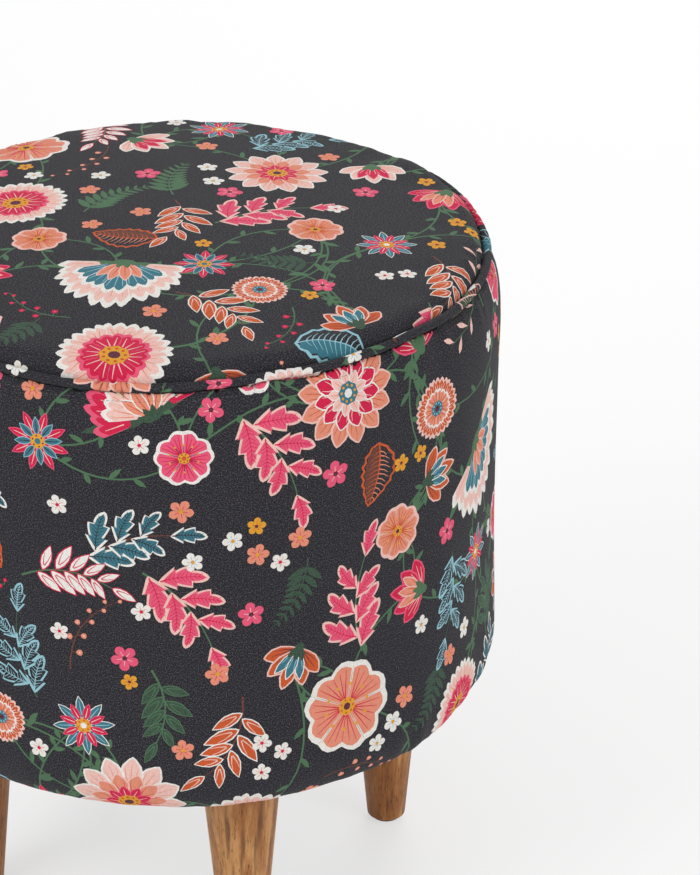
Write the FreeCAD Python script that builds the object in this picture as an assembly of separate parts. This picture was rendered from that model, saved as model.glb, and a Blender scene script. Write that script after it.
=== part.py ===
import FreeCAD, Part
import math
import os

# Round upholstered tuffet: a drum of plywood, hardboard and pine, padded with foam and covered in cotton,
# with a crowned seat, a piped seam and four turned, tapered legs.
# Millimetres. Z = 0 is the floor, +Z is up, and the Z axis is the drum's own axis.
# The legs stand on the diagonals and the posts inside stand on the axes, with -Y as the front.

# Legs
leg_length = 148.0
leg_top_diameter = 52.0
leg_foot_diameter = 25.0
leg_set_in = 43.5
leg_top_chamfer = 1.0
leg_foot_rounding = 2.5

# Foot glides
glide_diameter = 19.0
glide_thickness = 2.0
glide_rounding = 0.8
glide_pin_diameter = 2.4
glide_pin_length = 12.0

# Drum frame
board_radius = 182.0
base_board_thickness = 18.0
top_board_thickness = 12.0
wall_thickness = 3.0
wall_joint_gap = 2.0
post_width = 30.0
post_length = 222.0
post_chamfer = 1.5
post_to_wall = 5.0

# Padding
seat_foam_thickness = 48.0
wadding_thickness = 5.0
wadding_skirt = 10.0
side_foam_thickness = 14.2
shoulder_swell = 1.9
shoulder_depth = 56.0
lower_corner_height = 34.0

# Cover
fabric_thickness = 1.0
crown_rise = 20.0
crown_edge_radius = 11.0
seam_set_in = 8.0
seam_allowance = 12.0
cord_diameter = 3.2
hem_width = 12.0
dust_cover_thickness = 0.5
dust_cover_lap = 5.0
dust_cover_step = 3.0

# Hardware
bolt_diameter = 8.0
bolt_length_in_leg = 45.0
bolt_past_nut = 4.0
bolt_point = 4.0
nut_flange_diameter = 22.0
nut_flange_thickness = 1.6
nut_barrel_diameter = 10.0
nut_barrel_length = 11.0
screw_diameter = 4.0
screw_head_diameter = 8.0
screw_length = 40.0
screw_point = 5.0
screw_spacing = 16.0
staple_crown = 10.0
staple_leg = 8.0
staple_width = 1.2
staple_thickness = 0.6
cover_staple_count = 36
dust_staple_count = 24

# Clearances
soft_gap = 0.3
wall_gap = 0.2
thread_gap = 0.05
hole_gap = 0.1
cord_gap = 0.15
dust_hole_gap = 0.4
drum_edge_land = 0.8

# Heights, from the floor up
leg_top = glide_thickness + leg_length
base_board_bottom = leg_top + dust_cover_thickness
base_board_top = base_board_bottom + base_board_thickness
top_board_bottom = base_board_top + post_length
top_board_top = top_board_bottom + top_board_thickness
hem_bottom = base_board_bottom - fabric_thickness
seat_foam_top = top_board_top + seat_foam_thickness
cover_top = seat_foam_top + soft_gap + wadding_thickness + soft_gap + fabric_thickness
seam_height = cover_top - crown_rise
allowance_bottom = seam_height - seam_allowance

# Radii, from the boards out
wall_inner = board_radius + wall_gap
wall_outer = wall_inner + wall_thickness
side_foam_inner = wall_outer + soft_gap
side_foam_outer = side_foam_inner + side_foam_thickness
cover_inner = side_foam_outer + soft_gap
cover_outer = cover_inner + fabric_thickness
hem_fold = wall_outer + drum_edge_land
hem_inner = board_radius - hem_width

# Seam stack, from the inside out: top cover's edge, the piping's two plies, side cover's edge
seam_radius = cover_outer - seam_set_in
cord_radius = cord_diameter / 2
casing_inner = cord_radius + cord_gap
casing_outer = casing_inner + fabric_thickness
top_edge_outer = seam_radius - casing_outer - soft_gap
piping_plies_inner = top_edge_outer + 2 * soft_gap
piping_plies_outer = piping_plies_inner + 2 * fabric_thickness
side_edge_inner = piping_plies_outer + soft_gap
side_edge_outer = side_edge_inner + fabric_thickness
side_fold_top = seam_height - casing_outer - soft_gap
shoulder_bottom = side_fold_top - shoulder_depth

# Crown: a wide arc centred on the axis runs on into a tight arc that turns straight down at the seam
edge_centre_radius = top_edge_outer - crown_edge_radius
crown_radius = (edge_centre_radius ** 2 + crown_rise ** 2 - crown_edge_radius ** 2) \
    / (2 * (crown_rise - crown_edge_radius))
crown_centre_height = cover_top - crown_radius
crown_turn = math.atan2(edge_centre_radius, seam_height - crown_centre_height)

# Legs and posts, in from the boards' edge and the wall
leg_circle_radius = board_radius - leg_set_in
post_circle_radius = wall_inner - post_to_wall - post_width / 2

FLOOR = FreeCAD.Vector(0, 0, 0)
UP = FreeCAD.Vector(0, 0, 1)
leg_angles = {"front_left": 225, "front_right": 315, "back_right": 45, "back_left": 135}
post_angles = {"front": 270, "right": 0, "back": 90, "left": 180}


def at(radius, height):
    """Point of a section, in the XZ plane."""
    return FreeCAD.Vector(radius, 0, height)


def on_circle(radius, angle, height):
    """Point at an angle in degrees round the drum."""
    turn = math.radians(angle)
    return FreeCAD.Vector(radius * math.cos(turn), radius * math.sin(turn), height)


def swung(centre, radius, turn):
    """Point of a section at a radius from a centre, turned outwards from straight up."""
    return centre + at(radius * math.sin(turn), radius * math.cos(turn))


def straight_runs(*points):
    """Edges from each point to the next."""
    return [Part.makeLine(a, b) for a, b in zip(points, points[1:])]


def arc(start, middle, end):
    return Part.Arc(start, middle, end).toShape()


def quarter_ellipse(start, corner, end):
    """Quarter of an ellipse that leaves its start and reaches its end along the sides of the corner."""
    curve = Part.BezierCurve()
    curve.setPoles([start, corner, end])
    curve.setWeight(2, math.sqrt(0.5))
    return curve.toShape()


def section(outline):
    """Flat face inside a closed run of edges."""
    return Part.Face(Part.Wire(outline))


def turned(face):
    """Solid made by turning a section about the drum's axis."""
    return face.revolve(FLOOR, UP, 360)


def disc(radius, bottom, top):
    return Part.makeCylinder(radius, top - bottom, at(0, bottom))


def rod(radius, bottom, top, foot):
    """Upright cylinder over a point of the floor."""
    return Part.makeCylinder(radius, top - bottom, foot + at(0, bottom))


def crown_edges(inset):
    """Crown arc and edge arc of the seat, set in from the cover's outer face, from the axis outwards."""
    crown_centre = at(0, crown_centre_height)
    edge_centre = at(edge_centre_radius, seam_height)
    wide = crown_radius - inset
    tight = crown_edge_radius - inset
    meeting = swung(crown_centre, wide, crown_turn)
    wide_arc = arc(swung(crown_centre, wide, 0), swung(crown_centre, wide, crown_turn / 2), meeting)
    middle = swung(edge_centre, tight, (crown_turn + math.pi / 2) / 2)
    tight_arc = arc(meeting, middle, swung(edge_centre, tight, math.pi / 2))
    return [wide_arc, tight_arc]


def crowned_skin(inset, thickness, bottom):
    """Domed layer of even thickness over the seat, with a straight skirt down to the bottom."""
    outer = top_edge_outer - inset
    inner = outer - thickness
    crown = cover_top - inset
    skirt = straight_runs(at(outer, seam_height), at(outer, bottom), at(inner, bottom), at(inner, seam_height))
    axis = straight_runs(at(0, crown - thickness), at(0, crown))
    underside = crown_edges(inset + thickness)[::-1]
    return turned(section(crown_edges(inset) + skirt + underside + axis))


def make_top_cover():
    return crowned_skin(0, fabric_thickness, allowance_bottom)


def make_seat_wadding():
    return crowned_skin(fabric_thickness + soft_gap, wadding_thickness, seam_height - wadding_skirt)


def make_seat_foam():
    """Foam block with the seat's crown and straight sides, flat on the top board."""
    inset = fabric_thickness + wadding_thickness + 2 * soft_gap
    side = top_edge_outer - inset
    rest = straight_runs(at(side, seam_height), at(side, top_board_top), at(0, top_board_top), at(0, seat_foam_top))
    return turned(section(crown_edges(inset) + rest))


def make_side_cover():
    """Side panel: sewn edge, shoulder below the piping, near straight side, rounded lower edge and hem."""
    widest = cover_outer + shoulder_swell
    skin = fabric_thickness
    corner_top = hem_bottom + lower_corner_height
    outline = straight_runs(at(side_edge_inner, allowance_bottom), at(side_edge_inner, side_fold_top))
    outline.append(quarter_ellipse(at(side_edge_inner, side_fold_top), at(widest, side_fold_top),
                                   at(widest, shoulder_bottom)))
    outline += straight_runs(at(widest, shoulder_bottom), at(cover_outer, corner_top))
    outline.append(quarter_ellipse(at(cover_outer, corner_top), at(cover_outer, hem_bottom),
                                   at(hem_fold, hem_bottom)))
    outline += straight_runs(at(hem_fold, hem_bottom), at(hem_inner, hem_bottom),
                             at(hem_inner, base_board_bottom), at(hem_fold, base_board_bottom))
    outline.append(quarter_ellipse(at(hem_fold, base_board_bottom), at(cover_inner, base_board_bottom),
                                   at(cover_inner, corner_top)))
    outline += straight_runs(at(cover_inner, corner_top), at(widest - skin, shoulder_bottom))
    outline.append(quarter_ellipse(at(widest - skin, shoulder_bottom), at(widest - skin, side_fold_top - skin),
                                   at(side_edge_outer, side_fold_top - skin)))
    outline += straight_runs(at(side_edge_outer, side_fold_top - skin), at(side_edge_outer, allowance_bottom),
                             at(side_edge_inner, allowance_bottom))
    return turned(section(outline))


def make_side_foam():
    """Foam wrap round the drum, thicker at the shoulder, with a rebate that leaves room for the sewn edges."""
    widest = side_foam_outer + shoulder_swell
    corner_top = hem_bottom + lower_corner_height
    bottom = base_board_bottom + soft_gap
    tongue_inner = side_edge_outer + soft_gap
    tongue_top = side_fold_top - fabric_thickness - soft_gap
    rebate = allowance_bottom - soft_gap
    outline = [quarter_ellipse(at(tongue_inner, tongue_top), at(widest, tongue_top), at(widest, shoulder_bottom))]
    outline += straight_runs(at(widest, shoulder_bottom), at(side_foam_outer, corner_top))
    outline.append(quarter_ellipse(at(side_foam_outer, corner_top), at(side_foam_outer, bottom),
                                   at(hem_fold, bottom)))
    outline += straight_runs(at(hem_fold, bottom), at(side_foam_inner, bottom), at(side_foam_inner, rebate),
                             at(tongue_inner, rebate), at(tongue_inner, tongue_top))
    return turned(section(outline))


def make_piping_cover():
    """Bias strip folded round the cord, with its two plies running down between the panels' sewn edges."""
    centre = at(seam_radius, seam_height)

    def casing_point(radius):
        drop = math.sqrt(casing_outer ** 2 - (radius - seam_radius) ** 2)
        return at(radius, seam_height - drop)

    inner = casing_point(piping_plies_inner)
    outer = casing_point(piping_plies_outer)
    plies = straight_runs(outer, at(piping_plies_outer, allowance_bottom),
                          at(piping_plies_inner, allowance_bottom), inner)
    casing = section([arc(inner, centre + at(0, casing_outer), outer)] + plies)
    bore = section([Part.Circle(centre, FreeCAD.Vector(0, 1, 0), casing_inner).toShape()])
    return turned(casing.cut(bore))


def make_piping_cord():
    return Part.makeTorus(seam_radius, cord_radius, at(0, seam_height))


def make_screw(foot, head_height, direction):
    """Countersunk wood screw, its head's flat face at a height and its point along the direction, 1 or -1."""
    head_radius = screw_head_diameter / 2
    shank_radius = screw_diameter / 2
    sink = head_radius - shank_radius
    head = foot + at(0, head_height)
    along = UP * direction
    cone = Part.makeCone(head_radius, shank_radius, sink, head, along)
    shank = Part.makeCylinder(shank_radius, screw_length - sink - screw_point, head + along * sink, along)
    point = Part.makeCone(shank_radius, 0, screw_point, head + along * (screw_length - screw_point), along)
    return cone.fuse([shank, point]).removeSplitter()


def make_screw_hole(foot, head_height, direction):
    """Countersunk hole that clears the screw all round."""
    head_radius = screw_head_diameter / 2 + hole_gap
    shank_radius = screw_diameter / 2 + hole_gap
    head = foot + at(0, head_height)
    along = UP * direction
    cone = Part.makeCone(head_radius, shank_radius, head_radius - shank_radius, head, along)
    return cone.fuse(Part.makeCylinder(shank_radius, screw_length + hole_gap, head, along))


def screw_feet():
    """Points of the floor under the screws: two side by side in the middle of each post."""
    for angle in post_angles.values():
        middle = on_circle(post_circle_radius, angle, 0)
        sideways = on_circle(screw_spacing / 2, angle + 90, 0)
        yield middle + sideways
        yield middle - sideways


def make_board_screws():
    lower = [make_screw(foot, base_board_bottom, 1) for foot in screw_feet()]
    upper = [make_screw(foot, top_board_top, -1) for foot in screw_feet()]
    return Part.makeCompound(lower + upper)


def make_base_board():
    """Plywood disc with four holes for the tee nuts and countersunk holes under the posts."""
    board = disc(board_radius, base_board_bottom, base_board_top)
    nut_hole = nut_barrel_diameter / 2 + hole_gap
    holes = [rod(nut_hole, base_board_bottom, base_board_top, foot) for foot in leg_feet().values()]
    screws = [make_screw_hole(foot, base_board_bottom, 1) for foot in screw_feet()]
    return board.cut(holes + screws)


def make_top_board():
    board = disc(board_radius, top_board_bottom, top_board_top)
    return board.cut([make_screw_hole(foot, top_board_top, -1) for foot in screw_feet()])


def make_drum_wall():
    """Hardboard sheet bent round both boards, butted over the back post."""
    tube = disc(wall_outer, base_board_bottom, top_board_top).cut(disc(wall_inner, base_board_bottom, top_board_top))
    height = top_board_top - base_board_bottom
    corner = FreeCAD.Vector(-wall_joint_gap / 2, board_radius / 2, base_board_bottom)
    return tube.cut(Part.makeBox(wall_joint_gap, board_radius, height, corner))


def make_post(angle):
    """Square pine post with eased edges, one face towards the drum wall, drilled at both ends."""
    half = post_width / 2
    post = Part.makeBox(post_width, post_width, post_length, FreeCAD.Vector(-half, -half, 0))
    upright = [edge for edge in post.Edges if abs(edge.tangentAt(edge.FirstParameter).z) > 0.5]
    post = post.makeChamfer(post_chamfer, upright)
    post.rotate(FLOOR, UP, angle)
    post.translate(on_circle(post_circle_radius, angle, base_board_top))
    lower = [make_screw_hole(foot, base_board_bottom, 1) for foot in screw_feet()]
    upper = [make_screw_hole(foot, top_board_top, -1) for foot in screw_feet()]
    return post.cut(lower + upper)


def leg_feet():
    """Points of the floor under the legs' axes."""
    return {name: on_circle(leg_circle_radius, angle, 0) for name, angle in leg_angles.items()}


def make_leg(foot):
    """Turned leg: a straight taper with a rounded foot, a chamfered top and holes for its bolt and glide."""
    taper = Part.makeCone(leg_foot_diameter / 2, leg_top_diameter / 2, leg_length, foot + at(0, glide_thickness))
    rims = [edge for edge in taper.Edges if edge.Closed]
    foot_rim = min(rims, key=lambda edge: edge.BoundBox.ZMin)
    leg = taper.makeFillet(leg_foot_rounding, [foot_rim])
    rims = [edge for edge in leg.Edges if edge.Closed]
    top_rim = max(rims, key=lambda edge: edge.BoundBox.ZMin)
    leg = leg.makeChamfer(leg_top_chamfer, [top_rim])
    bolt_hole = rod(bolt_diameter / 2 + hole_gap, leg_top - bolt_length_in_leg - hole_gap, leg_top, foot)
    pin_top = glide_thickness + glide_pin_length + hole_gap
    pin_hole = rod(glide_pin_diameter / 2 + hole_gap, glide_thickness, pin_top, foot)
    return leg.cut([bolt_hole, pin_hole])


def make_glide(foot):
    """Nail-on glide: a low round button with its pin up in the leg."""
    button = rod(glide_diameter / 2, 0, glide_thickness, foot)
    rims = [edge for edge in button.Edges if edge.Closed]
    button = button.makeFillet(glide_rounding, [min(rims, key=lambda edge: edge.BoundBox.ZMin)])
    return button.fuse(rod(glide_pin_diameter / 2, glide_thickness, glide_thickness + glide_pin_length, foot))


def make_hanger_bolts():
    """Headless bolts, with a wood point down in the leg and a machine end up through the tee nut."""
    radius = bolt_diameter / 2
    lowest = leg_top - bolt_length_in_leg
    highest = base_board_top + nut_flange_thickness + bolt_past_nut
    bolts = []
    for foot in leg_feet().values():
        point = Part.makeCone(0, radius, bolt_point, foot + at(0, lowest))
        bolts.append(point.fuse(rod(radius, lowest + bolt_point, highest, foot)))
    return Part.makeCompound(bolts)


def make_tee_nuts():
    """Flanged nuts, pressed down into the base board from inside the drum."""
    nuts = []
    flange_top = base_board_top + nut_flange_thickness
    barrel_bottom = base_board_top - nut_barrel_length
    for foot in leg_feet().values():
        flange = rod(nut_flange_diameter / 2, base_board_top, flange_top, foot)
        nut = flange.fuse(rod(nut_barrel_diameter / 2, barrel_bottom, base_board_top, foot))
        nuts.append(nut.cut(rod(bolt_diameter / 2 + thread_gap, barrel_bottom, flange_top, foot)))
    return Part.makeCompound(nuts)


def make_dust_cover():
    """Thin sheet under the base board that steps down over the hem's edge, with holes for the bolts."""
    sheet = dust_cover_thickness
    outer = hem_inner + dust_cover_lap
    step_out = hem_inner - soft_gap
    step_in = step_out - dust_cover_step
    outline = straight_runs(
        at(0, base_board_bottom), at(step_in, base_board_bottom), at(step_out, hem_bottom), at(outer, hem_bottom),
        at(outer, hem_bottom - sheet), at(step_out - sheet, hem_bottom - sheet),
        at(step_in - sheet, base_board_bottom - sheet), at(0, base_board_bottom - sheet), at(0, base_board_bottom))
    hole = bolt_diameter / 2 + dust_hole_gap
    return turned(section(outline)).cut([rod(hole, leg_top, base_board_bottom, foot) for foot in leg_feet().values()])


def make_staple(radius, angle, under):
    """Staple with its crown lying round the drum under a face and its two legs driven up."""
    along = staple_crown / 2
    across = staple_width / 2
    wire = staple_thickness
    crown = Part.makeBox(staple_width, staple_crown, wire, FreeCAD.Vector(-across, -along, -wire))
    near = Part.makeBox(staple_width, wire, staple_leg, FreeCAD.Vector(-across, -along, 0))
    far = Part.makeBox(staple_width, wire, staple_leg, FreeCAD.Vector(-across, along - wire, 0))
    staple = crown.fuse([near, far]).removeSplitter()
    staple.rotate(FLOOR, UP, angle)
    staple.translate(on_circle(radius, angle, under))
    return staple


def staple_ring(count, radius, under):
    return Part.makeCompound([make_staple(radius, 360 * n / count, under) for n in range(count)])


def make_cover_staples():
    radius = (hem_inner + dust_cover_lap + board_radius) / 2
    return staple_ring(cover_staple_count, radius, hem_bottom)


def make_dust_cover_staples():
    radius = hem_inner + dust_cover_lap / 2
    return staple_ring(dust_staple_count, radius, hem_bottom - dust_cover_thickness)


def make_nodes():
    nodes = {
        "top_cover": make_top_cover(),
        "side_cover": make_side_cover(),
        "piping_cover": make_piping_cover(),
        "piping_cord": make_piping_cord(),
        "seat_wadding": make_seat_wadding(),
        "seat_foam": make_seat_foam(),
        "side_foam": make_side_foam(),
        "top_board": make_top_board(),
        "drum_wall": make_drum_wall(),
        "base_board": make_base_board(),
        "dust_cover": make_dust_cover(),
        "hanger_bolts": make_hanger_bolts(),
        "tee_nuts": make_tee_nuts(),
        "board_screws": make_board_screws(),
        "cover_staples": make_cover_staples(),
        "dust_cover_staples": make_dust_cover_staples(),
    }
    for name, angle in post_angles.items():
        nodes["frame_post_" + name] = make_post(angle)
    for name, foot in leg_feet().items():
        nodes["leg_" + name] = make_leg(foot)
        nodes["foot_glide_" + name] = make_glide(foot)
    return nodes


def main():
    os.makedirs("parts", exist_ok=True)
    for name, shape in make_nodes().items():
        shape.exportStep("parts/" + name + ".step")
        box = shape.BoundBox
        print("%-24s %3d solids, valid %s, %9.1f mm3, z %.2f to %.2f"
              % (name, len(shape.Solids), shape.isValid(), shape.Volume, box.ZMin, box.ZMax))


main()
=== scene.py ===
import bmesh
import bpy
import numpy as np
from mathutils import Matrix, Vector
from mathutils.geometry import delaunay_2d_cdt


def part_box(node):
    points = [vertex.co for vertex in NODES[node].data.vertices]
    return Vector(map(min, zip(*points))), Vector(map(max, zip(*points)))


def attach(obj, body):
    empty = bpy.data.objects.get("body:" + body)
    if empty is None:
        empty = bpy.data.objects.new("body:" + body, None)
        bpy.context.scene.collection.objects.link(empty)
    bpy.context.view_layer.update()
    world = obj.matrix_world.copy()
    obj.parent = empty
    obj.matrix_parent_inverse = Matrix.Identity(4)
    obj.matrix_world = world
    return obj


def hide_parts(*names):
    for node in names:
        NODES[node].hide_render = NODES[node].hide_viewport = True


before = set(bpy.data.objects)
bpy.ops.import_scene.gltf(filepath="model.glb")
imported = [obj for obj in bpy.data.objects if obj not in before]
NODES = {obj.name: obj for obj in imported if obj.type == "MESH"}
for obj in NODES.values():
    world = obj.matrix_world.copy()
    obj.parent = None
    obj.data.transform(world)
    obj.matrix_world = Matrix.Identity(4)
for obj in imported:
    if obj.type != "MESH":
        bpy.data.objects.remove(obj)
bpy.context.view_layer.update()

# Looks of a round upholstered stool: printed cotton over foam, with a piped seam and four turned legs.
# Sizes are in millimetres from the floor and the drum's axis, and meshes are written in metres.

MM = 0.001
TURN = 2 * np.pi


def box_mm(node):
    """The lowest and highest corner of a CAD node, in millimetres."""
    low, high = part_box(node)
    return np.array(low) / MM, np.array(high) / MM


# Sizes read from the frame
side_low, side_high = box_mm("side_cover")
top_low, top_high = box_mm("top_cover")
pipe_high = box_mm("piping_cover")[1]
cord_low, cord_high = box_mm("piping_cord")
foam_low, foam_high = box_mm("seat_foam")
wadding_low, wadding_high = box_mm("seat_wadding")
dust_low, dust_high = box_mm("dust_cover")
wall_high = box_mm("drum_wall")[1]
SIDES = ("front_left", "front_right", "back_right", "back_left")
LEG_AXES = [sum(box_mm(f"leg_{side}"))[:2] / 2 for side in SIDES]

# Cover: what the boxes give, then the shapes that they don't
COVER_RADIUS = side_high[0]
COVER_TOP = top_high[2]
TOP_EDGE = top_high[0]
FOLD_TOP = side_high[2]
HEM_BOTTOM = side_low[2]
ALLOWANCE_BOTTOM = top_low[2]
CORD_RADIUS = (cord_high[2] - cord_low[2]) / 2
SEAM_HEIGHT = (cord_high[2] + cord_low[2]) / 2
PIPE_RADIUS = pipe_high[2] - SEAM_HEIGHT
SEAM_RADIUS = pipe_high[0] - PIPE_RADIUS
FABRIC = 1.0
CROWN_EDGE = 11.0
SHOULDER_SWELL = 10.05
SHOULDER_DEPTH = 56.0
LOWER_SET_IN = 1.9
LOWER_CORNER = (15.0, 34.0)
HEM_INNER = 170.0
CLOSING_SEAM = TURN * 121 / 360


# Shader helpers


def linear(rgb):
    """An 8-bit display colour as the linear colour that a socket holds."""
    share = np.array(rgb, float) / 255
    level = np.where(share <= 0.04045, share / 12.92, ((share + 0.055) / 1.055) ** 2.4)
    return tuple(level) + (1.0,)


class Socket:
    """An output of a node, with operators that add Math nodes to its material."""

    def __init__(self, finish, output):
        self.finish = finish
        self.output = output

    def math(self, operation, *values):
        """A Math node on numbers or sockets."""
        return self.finish.node("Math", {"operation": operation}, dict(enumerate(values)))[0]

    def __add__(self, other):
        return self.math("ADD", self, other)

    def __sub__(self, other):
        return self.math("SUBTRACT", self, other)

    def __mul__(self, other):
        return self.math("MULTIPLY", self, other)

    def __rsub__(self, other):
        return self.math("SUBTRACT", other, self)

    __radd__ = __add__
    __rmul__ = __mul__

    def wave(self):
        """The sine of the value."""
        return self.math("SINE", self)

    def size(self):
        """The value without its sign."""
        return self.math("ABSOLUTE", self)

    def ramp(self, low, high):
        """0 at low, 1 at high and smooth between them."""
        settings = {"interpolation_type": "SMOOTHSTEP"}
        return self.finish.node("MapRange", settings, {0: self, 1: low, 2: high, 3: 0.0, 4: 1.0})[0]


class Finish:
    """A material being made: a Principled shader and the nodes that feed it."""

    def __init__(self, name, **constants):
        self.material = bpy.data.materials.new(name)
        self.material.use_nodes = True
        self.tree = self.material.node_tree
        self.shader = self.tree.nodes["Principled BSDF"]
        for socket, value in constants.items():
            self.shader.inputs[socket.replace("_", " ")].default_value = value

    def node(self, kind, settings=None, values=None):
        """Adds a node: its settings first, then numbers, colours or links on its sockets."""
        node = self.tree.nodes.new("ShaderNode" + kind)
        for name, value in (settings or {}).items():
            setattr(node, name, value)
        for name, value in (values or {}).items():
            self.feed(node.inputs[name], value)
        return [Socket(self, output) for output in node.outputs]

    def feed(self, socket, value):
        """Links an output to a socket, or sets the socket."""
        if isinstance(value, Socket):
            self.tree.links.new(value.output, socket)
        else:
            socket.default_value = value

    def mix(self, share, first, second, blend="MIX"):
        """The first colour going over to the second, each a socket or an 8-bit display colour."""
        settings = {"data_type": "RGBA", "blend_type": blend}
        colours = [value if isinstance(value, Socket) else linear(value) for value in (first, second)]
        return self.node("Mix", settings, {0: share, 6: colours[0], 7: colours[1]})[2]

    def scaled(self, vector, scale):
        """A place with each axis multiplied by its own number."""
        return self.node("VectorMath", {"operation": "MULTIPLY"}, {0: vector, 1: scale})[0]

    def place(self, scale=(1, 1, 1)):
        """The place on the object in millimetres, times a number for each axis."""
        place = self.node("TexCoord")[3]
        return self.scaled(place, tuple(k / MM for k in scale))

    def noise(self, place, scale, detail=2.0, rough=0.5, bend=0.0):
        """Cloudy noise from 0 to 1."""
        values = {"Vector": place, "Scale": scale, "Detail": detail, "Roughness": rough, "Distortion": bend}
        return self.node("TexNoise", None, values)[0]

    def grain(self, scale, *shape):
        """Cloudy noise at the place on the object, times a number for each axis."""
        return self.noise(self.place(scale), 1.0, *shape)

    def cells(self, place, scale):
        """The distance to the nearest of scattered points."""
        return self.node("TexVoronoi", {"feature": "F1"}, {"Vector": place, "Scale": scale})[0]

    def axes(self, vector):
        """The three numbers of a place or a direction."""
        return self.node("SeparateXYZ", None, {0: vector})

    def done(self, colour, height, depth_mm, roughness=None):
        """The material with a colour, a height from 0 to 1 times a depth, and a roughness if that varies."""
        raised = self.node("Bump", None, {"Strength": 1.0, "Distance": depth_mm * MM, "Height": height})[0]
        self.feed(self.shader.inputs["Base Color"], colour)
        self.feed(self.shader.inputs["Normal"], raised)
        if roughness is not None:
            self.feed(self.shader.inputs["Roughness"], roughness)
        return self.material


# Finishes


def printed_cotton():
    """Cotton with the printed inks: a twill weave, uneven yarns, and pale and dark flecks of fibre."""
    f = Finish("printed_cotton", Sheen_Weight=0.04, Sheen_Roughness=0.4, Specular_IOR_Level=0.25)
    ink = f.node("Attribute", {"attribute_name": "ink"})[0]
    flat = f.scaled(f.node("UVMap", {"uv_map": "cloth"})[0], (1 / MM, 1 / MM, 1.0))
    across, along, _ = f.axes(flat)
    twill = ((across + along * 0.8) * (TURN / 1.25)).wave()
    yarns = (across * (TURN / 0.62)).wave() * (along * (TURN / 0.58)).wave()
    warp = f.noise(f.scaled(flat, (1.9, 0.16, 1.0)), 1.0, 1.0)
    weft = f.noise(f.scaled(flat, (0.16, 1.9, 1.0)), 1.0, 1.0)
    fleck = f.noise(flat, 1.2, 3.0, 0.75)
    cloud = f.noise(flat, 0.03, 2.0)
    light = 0.66 + twill * 0.06 + yarns * 0.05 + (warp + weft) * 0.32 + (cloud - 0.5) * 0.12
    shade = f.node("CombineColor", None, {0: light, 1: light, 2: light})[0]
    dyed = f.mix(1.0, ink, shade, "MULTIPLY")
    bare = f.node("RGBToBW", None, {"Color": ink})[0].ramp(0.16, 0.03) * 0.75 + 0.25
    dyed = f.mix(fleck.ramp(0.50, 0.66) * bare * 0.50, dyed, (128, 125, 132))
    dyed = f.mix(fleck.ramp(0.49, 0.35) * bare * 0.65, dyed, (18, 17, 21))
    height = 0.4 + 0.22 * twill + 0.18 * yarns + (warp + weft - 1.0) * 0.6 + 0.5 * fleck
    return f.done(dyed, height, 0.16, 0.80 + 0.12 * fleck)


def leg_wood():
    """Oiled hardwood: honey and brown bands along the leg, dark streaks and pores, and a satin coat. Painted
    light: the wood is lighter towards the front and darker towards the back.
    """
    f = Finish("leg_wood", Coat_Weight=0.10, Coat_Roughness=0.35, Specular_IOR_Level=0.4)
    warp = f.grain((0.016, 0.016, 0.006), 2.0)
    bands = f.grain((0.095, 0.095, 0.0034), 3.0, 0.55, 0.6)
    fine = f.grain((0.42, 0.42, 0.016), 4.0, 0.65, 0.3)
    pores = f.grain((1.5, 1.5, 0.09), 2.0, 0.5)
    streak = f.grain((0.17, 0.17, 0.0045), 2.0, 0.5, 0.5)
    cloud = f.grain((0.07, 0.07, 0.03), 3.0, 0.6)
    # Painted light: the tone rises towards -Y, so the front legs look more lit and the back legs more shaded
    forward = f.axes(f.place())[1] * -0.0007
    tone = bands * 0.95 + fine * 0.42 + (warp - 0.5) * 0.7 + (cloud - 0.5) * 0.45 - 0.13 + forward
    base = f.mix(tone.ramp(0.30, 0.52), (104, 57, 24), (158, 98, 44))
    base = f.mix(tone.ramp(0.50, 0.76), base, (200, 146, 88))
    base = f.mix(streak.ramp(0.56, 0.70) * 0.62, base, (78, 42, 20))
    base = f.mix(pores.ramp(0.58, 0.68) * 0.7, base, (58, 30, 16))
    height = 0.6 * fine + 0.4 * (1 - pores.ramp(0.56, 0.70))
    return f.done(base, height, 0.14, 0.40 + 0.22 * fine + 0.1 * pores)


def pine():
    """Planed pine: pale yellow wood with soft rings along the post."""
    f = Finish("pine", Roughness=0.62)
    rings = (f.grain((0.05, 0.05, 0.002), 2.0, 0.5, 0.6) * 46.0).wave()
    fibre = f.grain((0.9, 0.9, 0.03), 3.0)
    base = f.mix(rings.ramp(-0.2, 1.0), (226, 190, 132), (196, 146, 84))
    return f.done(f.mix(fibre * 0.25, base, (168, 120, 70)), fibre, 0.08)


def plywood():
    """Birch plywood: figured faces, and pale and dark plies at the edge."""
    f = Finish("plywood", Roughness=0.66)
    place = f.place()
    height = f.axes(place)[2]
    facing = f.axes(f.node("NewGeometry")[1])[2].size()
    figure = f.grain((0.006, 0.11, 1.0), 4.0, 0.55, 0.8)
    fibre = f.grain((0.04, 1.1, 1.0), 2.0)
    face = f.mix(figure.ramp(0.35, 0.68), (222, 190, 144), (186, 142, 92))
    plies = (height * (TURN / 3.0)).wave().ramp(-0.25, 0.25)
    edge = f.mix(plies, (150, 104, 64), (218, 182, 132))
    base = f.mix(facing.ramp(0.3, 0.7), edge, face)
    return f.done(f.mix(fibre * 0.2, base, (150, 108, 68)), fibre + 0.3 * plies, 0.10)


def hardboard():
    """Pressed brown fibre board with short fibres."""
    f = Finish("hardboard", Roughness=0.7)
    fibre = f.grain((0.5, 0.5, 0.5), 5.0, 0.7, 1.2)
    patch = f.grain((0.02, 0.02, 0.02))
    base = f.mix(fibre.ramp(0.3, 0.7), (94, 62, 38), (142, 100, 64))
    return f.done(f.mix(patch * 0.4, base, (118, 80, 50)), fibre, 0.06)


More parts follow.
